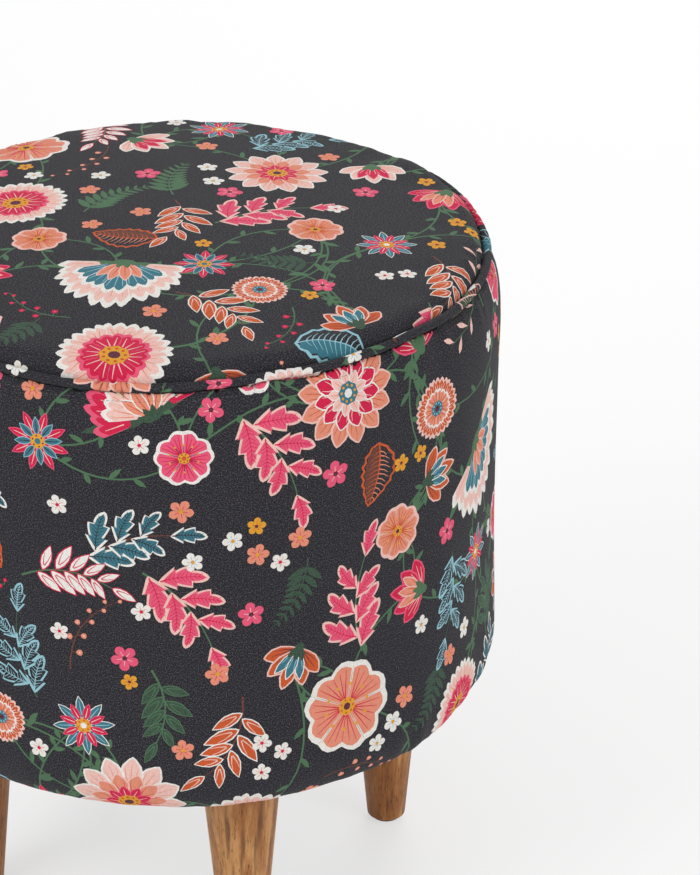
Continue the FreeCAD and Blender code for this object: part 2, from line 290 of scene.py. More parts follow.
def zinc_steel():
    """Zinc-plated steel with faint brushing and darker spots."""
    f = Finish("zinc_steel", Metallic=1.0)
    brushed = f.grain((1.2, 1.2, 9.0), 3.0)
    spots = f.grain((0.3, 0.3, 0.3), 3.0, 0.6)
    colour = f.mix(spots.ramp(0.35, 0.7), (186, 188, 190), (150, 150, 148))
    return f.done(colour, brushed, 0.02, 0.26 + 0.22 * brushed)


def glide_plastic():
    """Brown moulded plastic, rubbed paler and rough where it slides."""
    f = Finish("glide_plastic")
    grain = f.grain((0.9, 0.9, 0.9), 3.0)
    height = f.axes(f.place())[2]
    worn = height.ramp(0.7, 0.0) * grain.ramp(0.35, 0.7)
    colour = f.mix(worn, (52, 38, 30), (104, 90, 80))
    return f.done(colour, grain, 0.05, 0.42 + 0.35 * worn)


def dust_cloth():
    """Black non-woven cloth: pressed fibres with a dimpled bond pattern."""
    f = Finish("dust_cloth", Roughness=0.93)
    place = f.place()
    x, y, _ = f.axes(place)
    dimples = ((x + y) * (TURN / 2.6)).wave() * ((x - y) * (TURN / 2.6)).wave()
    fibre = f.noise(place, 0.8, 5.0, 0.75, 1.5)
    base = f.mix(fibre.ramp(0.35, 0.75), (24, 24, 26), (62, 61, 64))
    colour = f.mix(dimples.ramp(0.35, 0.8) * 0.6, base, (18, 18, 20))
    return f.done(colour, fibre * 0.8 - 0.6 * dimples.ramp(0.35, 0.8), 0.16)


def foam():
    """Cream upholstery foam with open cells."""
    f = Finish("foam", Roughness=0.95)
    cells = f.cells(f.place(), 0.75)
    patch = f.noise(f.place(), 0.02, 2.0)
    base = f.mix(cells.ramp(0.15, 0.6), (190, 170, 122), (236, 222, 180))
    return f.done(f.mix(patch * 0.5, base, (226, 206, 156)), cells, 0.35)


def wadding():
    """White polyester wadding with long tangled fibres."""
    f = Finish("wadding", Roughness=0.95, Sheen_Weight=0.2)
    fibre = f.grain((0.5, 0.5, 0.9), 6.0, 0.75, 2.5)
    return f.done(f.mix(fibre.ramp(0.3, 0.7), (206, 206, 204), (244, 244, 240)), fibre, 0.5)


def cord_cotton():
    """Undyed cotton yarn of the filler cord."""
    f = Finish("cord_cotton", Roughness=0.92)
    fibre = f.noise(f.place(), 2.0, 4.0, 0.7, 1.0)
    return f.done(f.mix(fibre.ramp(0.3, 0.7), (200, 190, 170), (238, 230, 212)), fibre, 0.1)


def stitching_thread():
    """Dark grey polyester thread with a twist."""
    f = Finish("stitching_thread", Roughness=0.6)
    ply = f.noise(f.place(), 3.0, 2.0)
    return f.done(f.mix(ply, (70, 68, 72), (128, 125, 128)), ply, 0.05)


def studio_floor():
    """Pale matt sweep of a bright studio: what the camera and mirrors see of it is mixed with plain white."""
    f = Finish("studio_floor", Roughness=0.9)
    cloud = f.grain((0.002, 0.002, 0.002))
    f.feed(f.shader.inputs["Base Color"], f.mix(cloud, (251, 251, 251), (253, 253, 253)))
    white_share = 0.60
    rays = f.node("LightPath")
    white = f.node("Emission", None, {"Color": (1.0, 1.0, 1.0, 1.0), "Strength": 1.0})[0]
    lit = Socket(f, f.shader.outputs[0])
    seen = f.node("MixShader", None, {0: (rays[0] + rays[3]) * white_share, 1: lit, 2: white})[0]
    f.tree.links.new(seen.output, f.tree.nodes["Material Output"].inputs["Surface"])
    return f.material


# Mesh helpers


def add_piece(name, points, triangles, material, corner_normals=None, maps=None, inks=None):
    """A mesh piece from arrays: points in millimetres, triangles, and what each corner carries."""
    mesh = bpy.data.meshes.new(name)
    mesh.vertices.add(len(points))
    mesh.vertices.foreach_set("co", (np.asarray(points) * MM).astype(np.float32).ravel())
    mesh.loops.add(3 * len(triangles))
    mesh.loops.foreach_set("vertex_index", np.asarray(triangles, np.int32).ravel())
    mesh.polygons.add(len(triangles))
    mesh.polygons.foreach_set("loop_start", np.arange(0, 3 * len(triangles), 3, dtype=np.int32))
    mesh.update(calc_edges=True)
    for map_name, flat in (maps or {}).items():
        mesh.uv_layers.new(name=map_name).data.foreach_set("uv", flat.astype(np.float32).ravel())
    if inks is not None:
        layer = mesh.color_attributes.new("ink", "FLOAT_COLOR", "CORNER")
        layer.data.foreach_set("color", inks.astype(np.float32).ravel())
    mesh.shade_smooth()
    if corner_normals is not None:
        mesh.normals_split_custom_set(corner_normals.astype(np.float32))
    mesh.materials.append(material)
    piece = bpy.data.objects.new(name, mesh)
    bpy.context.scene.collection.objects.link(piece)
    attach(piece, "root")
    return piece


def lattice(rows, columns, wrap_rows=False, wrap_columns=False):
    """The triangles of a grid of points, row by row, joined round where it wraps."""
    row = np.arange(rows if wrap_rows else rows - 1)[:, None]
    column = np.arange(columns if wrap_columns else columns - 1)[None, :]
    a = row * columns + column
    b = row * columns + (column + 1) % columns
    c = (row + 1) % rows * columns + (column + 1) % columns
    d = (row + 1) % rows * columns + column
    return np.concatenate([np.stack([a, b, c], -1).reshape(-1, 3), np.stack([a, c, d], -1).reshape(-1, 3)])


def merged(piece, sharp_turn=None):
    """The piece with its doubles joined and its faces turned outwards, and creased past an angle."""
    work = bmesh.new()
    work.from_mesh(piece.data)
    bmesh.ops.remove_doubles(work, verts=work.verts, dist=1e-6)
    bmesh.ops.dissolve_degenerate(work, edges=work.edges, dist=1e-6)
    bmesh.ops.recalc_face_normals(work, faces=work.faces)
    work.to_mesh(piece.data)
    work.free()
    if sharp_turn:
        piece.data.set_sharp_from_angle(angle=sharp_turn)
    return piece


def wrapped(name, outer, inner, material, sharp_turn=0.9):
    """A closed layer between two grids of points that share their first and last rows' edges."""
    rows, columns = outer.shape[:2]
    grid = np.concatenate([outer, inner[::-1]])
    piece = add_piece(name, grid.reshape(-1, 3), lattice(len(grid), columns, True, True), material)
    return merged(piece, sharp_turn)


def arc(centre, radii, first, last, count=24):
    """Points of an elliptic arc between two angles in degrees."""
    angle = np.radians(np.linspace(first, last, count))
    return np.stack([centre[0] + radii[0] * np.cos(angle), centre[1] + radii[1] * np.sin(angle)], 1)


class Line:
    """A section of the cover: (radius, height) by length along it, each averaged over a short reach."""

    def __init__(self, points, ease=1.2, step=0.2):
        points = np.asarray(points, float)
        far = np.concatenate([[0], np.cumsum(np.hypot(*np.diff(points, axis=0).T))])
        count = int(far[-1] / step)
        along = np.linspace(0, far[-1], count)
        fine = np.stack([np.interp(along, far, points[:, k]) for k in (0, 1)], 1)
        reach = int(ease / step)
        window = np.hanning(2 * reach + 1) / np.hanning(2 * reach + 1).sum()
        before, after = 2 * fine[:1] - fine[reach:0:-1], 2 * fine[-1:] - fine[-2:-reach - 2:-1]
        padded = np.concatenate([before, fine, after])
        fine = np.stack([np.convolve(padded[:, k], window, "valid") for k in (0, 1)], 1)
        self.far = np.concatenate([[0], np.cumsum(np.hypot(*np.diff(fine, axis=0).T))])
        self.points = fine
        ahead = np.gradient(fine, axis=0)
        self.left = np.stack([-ahead[:, 1], ahead[:, 0]], 1) / np.hypot(ahead[:, 0], ahead[:, 1])[:, None]
        self.length = self.far[-1]

    def at(self, place):
        """The radius, height and outward direction at a length along the line."""
        return [np.interp(place, self.far, column) for column in (*self.points.T, *self.left.T)]


def wave_round(angle, low, high, seed):
    """Uneven waves round the drum: cosines of every order from low to high with seeded sizes and starts."""
    rng = np.random.default_rng(seed)
    orders = np.arange(low, high + 1)[:, None]
    table = np.linspace(0, TURN, 4096)
    starts = rng.uniform(0, TURN, (len(orders), 1))
    sizes = rng.normal(0, 1, (len(orders), 1))
    wave = (sizes * np.cos(orders * table + starts)).sum(0) / np.sqrt(len(orders) / 2)
    return np.interp(angle % TURN, table, wave)


def polar(radius, angle, height):
    """Points at a radius, an angle and a height round the Z axis."""
    return np.stack([radius * np.cos(angle), radius * np.sin(angle), height], -1)


def near(place, middle, reach):
    """1 at the middle, falling to 0 as a bell past the reach."""
    return np.exp(-(((place - middle) / reach) ** 2))


# Cover: lines and surfaces

CROWN_MIDDLE = COVER_TOP - (
    ((TOP_EDGE - CROWN_EDGE) ** 2 + (COVER_TOP - SEAM_HEIGHT) ** 2 - CROWN_EDGE**2)
    / (2 * (COVER_TOP - SEAM_HEIGHT - CROWN_EDGE))
)
CROWN_TURN = np.degrees(np.arctan2(TOP_EDGE - CROWN_EDGE, SEAM_HEIGHT - CROWN_MIDDLE))


def crown_line(inset):
    """The section of the seat's crown, set in from the cover's outside.

    A wide arc about the drum's axis runs on into a tight arc that ends upright at the seam.
    """
    wide = COVER_TOP - CROWN_MIDDLE - inset
    tight = CROWN_EDGE - inset
    crown = arc((0, CROWN_MIDDLE), (wide, wide), 90, 90 - CROWN_TURN, 30)
    edge = arc((TOP_EDGE - CROWN_EDGE, SEAM_HEIGHT), (tight, tight), 90 - CROWN_TURN, 0, 16)
    return np.concatenate([crown, edge[1:]])


def side_outline(inset):
    """The section of the drum's side, set in from the cover's outside.

    A quarter of an ellipse goes from the fold to the upright, and a smaller one from there to the flat hem.
    """
    fold = (COVER_RADIUS - SHOULDER_SWELL, FOLD_TOP - SHOULDER_DEPTH)
    shoulder = arc(fold, (SHOULDER_SWELL - inset, SHOULDER_DEPTH - inset), 90, 0, 30)
    corner = (COVER_RADIUS - LOWER_SET_IN - LOWER_CORNER[0], HEM_BOTTOM + LOWER_CORNER[1])
    roll = arc(corner, (LOWER_CORNER[0] - inset, LOWER_CORNER[1] - inset), 0, -90, 20)
    return np.concatenate([shoulder, roll])


side_start = [(COVER_RADIUS - SHOULDER_SWELL, ALLOWANCE_BOTTOM)]
side_line = Line(np.concatenate([side_start, side_outline(0.0), [(HEM_INNER, HEM_BOTTOM)]]))
top_line = Line(np.concatenate([crown_line(0.0), [(TOP_EDGE, ALLOWANCE_BOTTOM)]]))
PLY = SEAM_RADIUS - PIPE_RADIUS + 0.3
pipe_turn = np.degrees(np.arcsin((PLY + 2 * FABRIC - SEAM_RADIUS) / PIPE_RADIUS))
pipe_line = Line(
    np.concatenate(
        [
            [(PLY, ALLOWANCE_BOTTOM)],
            arc((SEAM_RADIUS, SEAM_HEIGHT), (PIPE_RADIUS, PIPE_RADIUS), 178, -90 + pipe_turn, 40),
            [(PLY + 2 * FABRIC, ALLOWANCE_BOTTOM)],
        ]
    ),
    0.4,
    0.1,
)
side_width = TURN * COVER_RADIUS
pipe_width = TURN * SEAM_RADIUS
FOLD_PLACE = FOLD_TOP - ALLOWANCE_BOTTOM
ROLL_PLACE = side_line.length - (COVER_RADIUS - LOWER_SET_IN - HEM_INNER)
SEAM_PLACE = top_line.length - (SEAM_HEIGHT - ALLOWANCE_BOTTOM)

# The waist's depth, and where the hem is fuller and the piping is joined, in degrees round the drum
WAIST = 2.8
HEM_FULL = -35
PIPE_JOIN = -68


# Degrees round the drum, the reach either way and the rise in millimetres, for each swell or sag of the seam
SEAM_SWELLS = ((164, 36, -2.1), (60, 18, 1.6), (-74, 14, -1.7), (-18, 16, 1.8))


def turn_between(angle, degrees):
    """The turn from a direction in degrees to an angle, between half a turn back and half a turn on."""
    return (angle - np.radians(degrees) + np.pi) % TURN - np.pi


def seam_drift(angle):
    """How far the sewn seam wanders up and down from its level circle: small waves and a few swells."""
    drift = 0.45 * wave_round(angle, 2, 7, 5) + 0.22 * wave_round(angle, 9, 24, 6)
    for middle, reach, rise in SEAM_SWELLS:
        drift = drift + rise * near(turn_between(angle, middle), 0, np.radians(reach))
    return drift


# Puckers of the side panel: depth, lowest and highest order, seed, and middle and reach down the side line
SIDE_PUCKERS = (
    (0.34, 50, 120, 23, FOLD_PLACE + 4, 13),
    (0.50, 14, 40, 24, FOLD_PLACE + 18, 22),
    (0.45, 24, 80, 25, ROLL_PLACE - 8, 20),
)


def side_surface(x, y, depth=0.0):
    """The side panel: x goes round the drum from the closing seam, and -y down the side line.

    Each point of the side line is moved out by a lift: waves round the drum, each times its fade down the
    line, less the waist, a groove at the closing seam and the depth. Near the seam it rises with the drift.
    """
    angle = CLOSING_SEAM + x * TURN / side_width
    place = -y
    radius, height, out, up = side_line.at(place)
    fade = 30
    body = np.clip((place - FOLD_PLACE) / fade, 0, 1) * np.clip((side_line.length - place) / fade, 0, 1)
    waist = WAIST * near(place, 165, 95) * (0.7 + 0.3 * np.cos(angle - np.radians(28)))
    slant = 0.0012 * (place - 150)
    lift = 0.55 * body * wave_round(angle + slant, 3, 11, 21) - body * waist
    lift = lift + 0.35 * body * wave_round(angle - 2 * slant, 10, 26, 22) * near(place, 120, 90)
    for deep, low, high, seed, middle, reach in SIDE_PUCKERS:
        lift = lift + deep * wave_round(angle, low, high, seed) * near(place, middle, reach)
    full = near(turn_between(angle, HEM_FULL), 0, np.radians(32))
    lift = lift + 2.0 * full * near(place, ROLL_PLACE - 14, 26)
    away = np.minimum(x, side_width - x)
    lift = lift - 1.5 * near(away, 0, 1.4) * np.clip(body * 4, 0, 1)
    lift = lift + 0.5 * near(away, 0, 9) * body * np.sin(place / 7.3 + 2 * np.sin(place / 23))
    rise = seam_drift(angle) * near(np.maximum(place, FOLD_PLACE), FOLD_PLACE, 26)
    lift = lift - depth
    radius = radius + lift * out
    return polar(radius, angle, height + lift * up + rise)


def top_surface(x, y, depth=0.0):
    """The top panel: x and y lie on the flat cloth, whose distance from the middle runs along the top line.

    Each point of the top line is moved out by a lift: three broad cosines that fade to the seam, and puckers
    that fade from it, less the depth. Near the seam it rises with the drift.
    """
    place = np.hypot(x, y)
    angle = np.arctan2(y, x)
    radius, height, out, up = top_line.at(place)
    broad = np.cos(x / 41 + y / 77 + 1) + np.cos(y / 37 - x / 90 + 2) + np.cos((x + y) / 58)
    lift = 0.35 * broad * np.clip((SEAM_PLACE - place) / 40, 0, 1)
    lift = lift + 0.20 * wave_round(angle, 40, 110, 31) * near(place, SEAM_PLACE - 5, 11)
    lift = lift + 0.36 * wave_round(angle, 12, 36, 32) * near(place, SEAM_PLACE - 22, 18)
    rise = seam_drift(angle) * near(np.minimum(place, SEAM_PLACE), SEAM_PLACE, 24)
    lift = lift - depth
    radius = radius + lift * out
    return polar(radius, angle, height + lift * up + rise)


def pipe_surface(x, y, depth=0.0):
    """The piping: x goes round the seam from the closing seam, and -y over the cord from ply to ply.

    Each point of the pipe line is moved out by small waves and by the step where the strip's ends overlap,
    less the depth. The whole line wanders in and out by a wave, and up and down by another and the drift.
    """
    angle = CLOSING_SEAM + x * TURN / pipe_width
    radius, height, out, up = pipe_line.at(-y)
    round_it = near(-y, pipe_line.length / 2, 8)
    lift = round_it * (0.10 * wave_round(angle, 20, 60, 41) + 0.08 * wave_round(angle, 90, 170, 42))
    slanted = turn_between(angle, PIPE_JOIN) * SEAM_RADIUS + 0.9 * (y + pipe_line.length / 2)
    overlap = np.clip((slanted + 6) / 1.2, 0, 1) - np.clip((slanted - 5) / 6, 0, 1)
    lift = lift + 0.55 * round_it * overlap - depth
    radius = radius + lift * out + 0.25 * wave_round(angle, 4, 16, 43) * round_it
    height = height + lift * up + seam_drift(angle) + 0.15 * wave_round(angle, 16, 40, 44) * round_it
    return polar(radius, angle, height)


# Cloth

# What delaunay_2d_cdt is to return: all triangles of the hull, or only those inside the given rings
WHOLE_HULL = 0
INSIDE_RINGS = 1


def inside(points, outline, margin):
    """True where a point is inside a convex outline by a margin."""
    ahead = np.roll(outline, -1, 0) - outline
    keep = (ahead != 0).any(1)
    corner, ahead = outline[keep], ahead[keep]
    ahead = ahead / np.hypot(ahead[:, 0], ahead[:, 1])[:, None]
    away = points[:, None, :] - corner[None]
    return (ahead[:, 0] * away[..., 1] - ahead[:, 1] * away[..., 0]).min(1) > margin


def grid_inside(outline, step, start, margin):
    """The points of a square grid that are inside a convex outline by a margin."""
    low, high = outline.min(0), outline.max(0)
    x, y = np.meshgrid(*(np.arange(low[k], high[k], step) + start for k in (0, 1)))
    grid = np.stack([x.ravel(), y.ravel()], 1)
    return grid[inside(grid, outline, margin)]


def turn_of(points, triangles):
    """Twice the area of each flat triangle, positive where it runs anticlockwise."""
    a, b, c = (points[triangles[:, k]] for k in range(3))
    return (b - a)[:, 0] * (c - a)[:, 1] - (b - a)[:, 1] * (c - a)[:, 0]


def anticlockwise(outline):
    """The outline in the order that keeps its inside on the left."""
    ahead = np.roll(outline, -1, 0)
    area = (outline[:, 0] * ahead[:, 1] - outline[:, 1] * ahead[:, 0]).sum()
    return outline if area > 0 else outline[::-1]


def cut(outline, shapes, step, lines=()):
    """Flat triangles of a cloth cut to a convex outline, with each printed shape's edge among their edges.

    It returns the points, the triangles and, for each triangle, the shape printed last over it, or -1.
    """
    grid = grid_inside(outline, step, step / 2, 0.4 * step)
    parts = [outline] + [anticlockwise(shape) for _, shape in shapes]
    ends = np.cumsum([len(part) for part in parts])
    rings = [list(range(end - len(part), end)) for end, part in zip(ends, parts)]
    counts = [int(np.hypot(*np.subtract(end, start)) / (0.5 * step)) + 2 for start, end in lines]
    folds = [np.linspace(start, end, count) for (start, end), count in zip(lines, counts)]
    firsts = ends[-1] + np.cumsum([0] + [len(fold) for fold in folds])
    edges = [(first + k, first + k + 1) for first, fold in zip(firsts, folds) for k in range(len(fold) - 1)]
    bars = np.concatenate(folds + [grid])
    given = np.concatenate(parts + [bars]).tolist()
    points, _, faces, _, _, origin = delaunay_2d_cdt(given, edges, rings, INSIDE_RINGS, 1e-4)
    points = np.array([tuple(p) for p in points])
    triangles = np.array(faces)
    within = np.array([0 in o for o in origin])
    printed = np.array([max(o, default=0) - 1 for o in origin])
    if np.median(turn_of(points, triangles)) < 0:
        triangles = triangles[:, ::-1]
    return points, triangles[within], printed[within]


def facing(surface, x, y, depth=0.0, reach=0.25):
    """The direction that a surface faces, from points a little to each side."""
    across = surface(x + reach, y, depth) - surface(x - reach, y, depth)
    along = surface(x, y + reach, depth) - surface(x, y - reach, depth)
    normal = np.cross(across, along)
    return normal / np.linalg.norm(normal, axis=-1, keepdims=True)


def cloth(name, outline, shapes, surface, bake_place, step, lines=(), back_step=9.0):
    """A closed thickness of printed cloth on a surface: its printed face, its plain back and its cut edge."""
    flat, triangles, printed = cut(outline, shapes, step, lines)
    sides = np.concatenate([triangles[:, [0, 1]], triangles[:, [1, 2]], triangles[:, [2, 0]]])
    _, first, uses = np.unique(np.sort(sides, 1), axis=0, return_index=True, return_counts=True)
    rim = sides[first[uses == 1]]
    rim_points, place_in_rim = np.unique(rim, return_inverse=True)
    place_in_rim = place_in_rim.reshape(-1, 2)
    grid = grid_inside(outline, back_step, 2, 0.3 * back_step)
    given = np.concatenate([flat[rim_points], grid]).tolist()
    back, _, back_faces, origin, _, _ = delaunay_2d_cdt(given, place_in_rim.tolist(), [], WHOLE_HULL, 1e-6)
    back = np.array([tuple(p) for p in back])
    back_triangles = np.array(back_faces)
    turning = turn_of(back, back_triangles)
    back_triangles = np.where(turning[:, None] > 0, back_triangles[:, ::-1], back_triangles)
    back_triangles = back_triangles[np.abs(turning) > 1e-9] + len(flat)
    where = {g: k + len(flat) for k, sources in enumerate(origin) for g in sources}
    where = np.array([where[g] for g in range(len(rim_points))])
    front_a, front_b = rim[:, 0], rim[:, 1]
    back_a, back_b = where[place_in_rim[:, 0]], where[place_in_rim[:, 1]]
    wall = np.stack([front_b, front_a, back_a, front_b, back_a, back_b], 1)
    wall = np.concatenate([wall[:, :3], wall[:, 3:]])
    points = np.concatenate([surface(*flat.T), surface(*back.T, FABRIC)])
    faces = np.concatenate([triangles, back_triangles, wall])
    flats = np.concatenate([flat, back])
    normals = np.concatenate([facing(surface, *flat.T), -facing(surface, *back.T, FABRIC)])[faces]
    a, b, c = (points[wall[:, k]] for k in range(3))
    wall_normal = np.cross(b - a, c - a)
    wall_normal /= np.maximum(np.linalg.norm(wall_normal, axis=1, keepdims=True), 1e-9)
    normals[-len(wall):] = wall_normal[:, None, :]
    colours = np.array([linear(INKS[ink]) for ink, _ in shapes] + [linear(INKS["ground"])])
    reverse = np.tile(linear(INKS["reverse"]), (len(faces) - len(triangles), 1))
    inks = np.concatenate([colours[printed], reverse])
    side = np.repeat(np.arange(len(faces)) >= len(triangles), 3).reshape(-1, 3)
    maps = {"cloth": flats[faces] * MM, "OFBake": bake_place(flats[faces], side)}
    normals, inks = normals.reshape(-1, 3), np.repeat(inks, 3, 0)
    return add_piece(name, points, faces, COTTON, normals, maps, inks)


def in_rows(width, height, rows):
    """A layout of a long strip for baking: rows of it under each other, and its back in a spare band."""
    margin, gap, spare, band = 0.01, 0.02, 0.12, 0.10

    def bake_place(flats, back):
        along, down = flats[..., 0] / width, -flats[..., 1] / height
        row = np.clip(np.floor(along.mean(1, keepdims=True) * rows), 0, rows - 1)
        u = (along * rows - row) * (1 - 2 * margin) + margin
        v = (row + gap + (1 - 2 * gap) * down) / (rows + spare)
        u_back = margin + (1 - 2 * margin) * along
        v_back = 1 - band / (rows + spare) * (0.1 + 0.8 * down)
        return np.stack([np.where(back, u_back, u), np.where(back, v_back, v)], -1)

    return bake_place


def in_disc(reach):
    """A layout of a round cloth for baking: the face fills the square and its back is small in a corner."""

    def bake_place(flats, back):
        face = 0.5 + 0.495 * flats / reach
        tiny = 0.06 + 0.055 * flats / reach
        return np.where(back[..., None], tiny, face)

    return bake_place


def strip_outline(width, height, step):
    """The outline of a strip with points along its edges, from (0, -height) to (width, 0)."""
    across = np.linspace(0, width, int(width / step) + 1)[:-1]
    down = np.linspace(0, height, int(height / step) + 1)[:-1]
    bottom = np.stack([across, np.full(len(across), -height)], 1)
    right = np.stack([np.full(len(down), width), down - height], 1)
    top = np.stack([width - across, np.zeros(len(across))], 1)
    left = np.stack([np.zeros(len(down)), -down], 1)
    return np.concatenate([bottom, right, top, left])


# Print

INKS = {
    "ground": (36, 35, 41),
    "white": (240, 236, 230),
    "blush": (243, 198, 188),
    "salmon": (234, 146, 120),
    "rust": (206, 90, 42),
    "crimson": (214, 28, 74),
    "rose": (236, 90, 124),
    "teal": (60, 120, 136),
    "sky": (152, 200, 212),
    "mustard": (230, 162, 48),
    "leaf": (80, 116, 84),
    "moss": (56, 84, 64),
    "brown": (112, 62, 48),
    "plum": (98, 32, 54),
    "reverse": (84, 83, 88),
}


def both_sides(line, half):
    """The outline that runs half a width below a line and comes back half a width above it."""
    off = half[:, None] * (0, 1)
    return np.concatenate([line - off, (line + off)[-2:0:-1]])


def petal(length, width, swell=1.0, tip=1.0, count=6):
    """A petal along +X: at share t of the length it is width times sin(pi t^swell)^tip wide."""
    t = 0.5 - 0.5 * np.cos(np.linspace(0, np.pi, count + 1))
    half = 0.5 * width * np.sin(np.pi * np.minimum(t**swell, 1)) ** tip
    return both_sides(np.stack([t * length, 0 * t], 1), half)


def fan_petal(length, width, teeth, depth, near=0.4, count=4):
    """A wedge along +X whose far edge is an arc with teeth: the radius is length less depth times |sin|."""
    share = np.linspace(-0.5, 0.5, teeth * count + 1)
    reach = length * (1 - 0.35 * share**2) - depth * (1 - np.abs(np.sin(np.pi * teeth * (share + 0.5))))
    far = np.stack([reach, share * width * (1.15 - 0.6 * share**2)], 1)
    base = near * np.array([(length, 0.55 * width), (length, -0.55 * width)])
    return np.concatenate([far, base])


def blot(radius, lobes=0, depth=0.0, count=12):
    """A round spot whose radius swings by depth, lobes times a turn."""
    angle = np.linspace(0, 2 * np.pi, count, endpoint=False)
    reach = radius * (1 + depth * np.cos(lobes * angle))
    return np.stack([reach * np.cos(angle), reach * np.sin(angle)], 1)


def bow(start, end, bend, count=5):
    """A bowed line: the straight line plus bend times 4 t (1 - t), square to it."""
    start, end = np.array(start, float), np.array(end, float)
    t = np.linspace(0, 1, count)[:, None]
    along = end - start
    square = np.array([-along[1], along[0]]) / np.hypot(*along)
    return start + t * along + 4 * t * (1 - t) * bend * square


def stroke(line, width, end_width):
    """A stroke of ink: each point of the line moved half the width to both sides, square to the line."""
    along = np.gradient(line, axis=0)
    square = np.stack([-along[:, 1], along[:, 0]], 1) / np.hypot(along[:, 0], along[:, 1])[:, None]
    half = np.linspace(width, end_width, len(line))[:, None] / 2
    return np.concatenate([line - half * square, (line + half * square)[::-1]])


def placed(shapes, x=0.0, y=0.0, angle=0.0):
    """The shapes turned by the angle and moved."""
    c, s = np.cos(angle), np.sin(angle)
    turn = np.array([[c, s], [-s, c]])
    return [(ink, outline @ turn + (x, y)) for ink, outline in shapes]


def wheel(shapes, count, start=0.0):
    """Copies of the shapes round the middle."""
    made = []
    for k in range(count):
        made += placed(shapes, angle=start + 2 * np.pi * k / count)
    return made


def veined(length, width, inks, veins=3, swell=1.0, tip=1.0):
    """A petal with a rim, a fill and a fan of thin veins."""
    rim, fill, vein = inks
    made = [(rim, petal(length, width, swell, tip))]
    made += placed([(fill, petal(0.9 * length, 0.8 * width, swell, tip))], 0.05 * length)
    for share in np.linspace(-1, 1, veins) if veins > 1 else [0.0]:
        end = (0.78 * length * (1 - 0.16 * share**2), 0.26 * width * share)
        line = bow((0.2 * length, 0.04 * width * share), end, 0.05 * width * share, 3)
        made.append((vein, stroke(line, 0.75, 0.3)))
    return made


def fanned(length, width, inks, teeth=3, veins=3, near=0.4):
    """A toothed petal with a rim, a fill and veins."""
    rim, fill, vein = inks
    depth = 0.12 * length
    made = [(rim, fan_petal(length, width, teeth, depth, near))]
    made.append((fill, fan_petal(0.9 * length, 0.82 * width, teeth, depth, near)))
    for share in np.linspace(-1, 1, veins):
        ends = ((near + 0.06) * length, 0.3 * near * width * share), (0.76 * length, 0.30 * width * share)
        made.append((vein, stroke(bow(*ends, 0.0, 2), 0.85, 0.35)))
    return made


def heart(radius, inks, dots=8):
    """The middle of a flower: a spot, a ring of dots and a core."""
    spot, dot, core = inks
    ring = wheel(placed([(dot, blot(0.13 * radius, count=6))], 0.72 * radius), dots)
    return [(spot, blot(radius, 8, 0.06, 16)), *ring, (core, blot(0.42 * radius, count=8))]


def dahlia(r, inks):
    """A wide flower of three rows of pointed petals."""
    outer, middle, inner, core = inks
    made = wheel(placed(veined(0.68 * r, 0.42 * r, outer, 3, 1.0, 0.75), 0.32 * r), 13)
    made += wheel(placed(veined(0.48 * r, 0.34 * r, middle, 2, 1.0, 0.75), 0.2 * r), 11, 0.3)
    made += wheel(placed(veined(0.34 * r, 0.22 * r, inner, 1, 1.0, 0.8), 0.08 * r), 9, 0.1)
    return made + heart(0.2 * r, core, 9)


def carnation(r, inks):
    """A flower of two rows of toothed fans."""
    outer, inner, core = inks
    made = wheel(fanned(r, 0.86 * r, outer, 4, 5, 0.5), 7)
    made += wheel(fanned(0.64 * r, 0.62 * r, inner, 3, 3, 0.34), 6, 0.5)
    return made + heart(0.26 * r, core, 9)


def dog_rose(r, inks):
    """Five broad petals with a toothed rim and a dotted heart."""
    outer, core = inks
    made = wheel(fanned(r, 1.15 * r, outer, 2, 5, 0.12), 5)
    made += wheel([(core[1], stroke(bow((0.15 * r, 0), (0.5 * r, 0), 0.02 * r, 2), 0.5, 0.5))], 10)
    made += wheel(placed([(core[0], blot(0.045 * r, count=5))], 0.5 * r), 10)
    return made + heart(0.2 * r, core, 7)


def starflower(r, inks):
    """Eight narrow petals over eight darker ones."""
    outer, inner, core = inks
    made = wheel(placed(veined(0.8 * r, 0.30 * r, outer, 1, 1.0, 0.9), 0.2 * r), 8)
    made += wheel(placed(veined(0.62 * r, 0.26 * r, inner, 1, 1.0, 0.9), 0.16 * r), 8, np.pi / 8)
    return made + heart(0.24 * r, core, 6)


def spread_out(angles, at, blade):
    """The shapes of blade(angle), turned by each angle about a place on the X axis."""
    made = []
    for angle in angles:
        made += placed(blade(abs(angle)), at, 0, angle)
    return made


def bell(r, inks):
    """A flower from the side: a fan of petals out of a green cup."""
    outer, inner, cup = inks
    narrow = veined(1.15 * r, 0.36 * r, inner, 2, 1.2, 0.8)
    sepal = [(cup[0], petal(0.55 * r, 0.24 * r, 0.9, 0.9))]

    def wide(angle):
        return veined((1.5 - 0.28 * angle) * r, 0.58 * r, outer, 3, 1.3, 0.75)

    made = spread_out(np.linspace(-1.0, 1.0, 5), -0.7 * r, wide)
    made += spread_out((-0.42, 0.42, 0.0), -0.7 * r, lambda angle: narrow)
    made += spread_out((-0.55, 0.0, 0.55), -0.75 * r, lambda angle: sepal)
    return made + placed([(cup[0], blot(0.16 * r, count=8))], -0.72 * r)


def leafy(length, droop, widths, ink, shares, spread, blade):
    """A bowed stem with a pair of blades at each share of it.

    spread(t, side) gives a blade's own share s of the stem and its lean, and blade(s, t) gives its shapes.
    """
    made = [(ink, stroke(bow((0, 0), (length, 0), droop * length, 9), *widths))]
    for t in shares:
        slope = np.arctan2(4 * (1 - 2 * t) * droop, 1)
        for side in (-1, 1):
            s, lean = spread(t, side)
            made += placed(blade(s, t), s * length, 4 * s * (1 - s) * droop * length, slope + side * lean)
    return made


